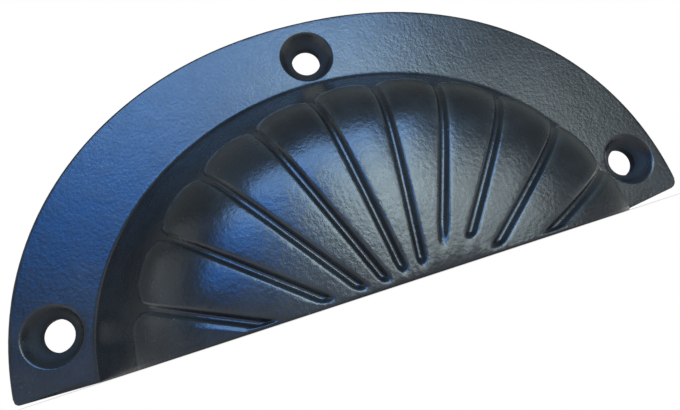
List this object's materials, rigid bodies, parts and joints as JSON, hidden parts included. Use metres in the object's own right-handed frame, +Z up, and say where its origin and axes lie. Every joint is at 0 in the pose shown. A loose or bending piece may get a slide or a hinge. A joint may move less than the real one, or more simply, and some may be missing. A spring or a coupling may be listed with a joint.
{
  "type": "cup pull",
  "caption": "Fan-shaped cup pull in black cast iron: a half-oval screw plate with a hollow, grooved hood that the fingers reach into from below.",
  "frame": {"origin": "midway between the two lower screw holes, on the back of the plate", "axes": "+X along the line of the two lower holes, -Y out of the front of the hood, +Z up, away from the open mouth"},
  "size_m": [0.106, 0.0238, 0.0456],
  "materials": {
    "black_iron": "satin black lacquer over a fine sand-cast skin"
  },
  "bodies": {
    "root": {"cup_pull": "black_iron"}
  },
  "joints": []
}
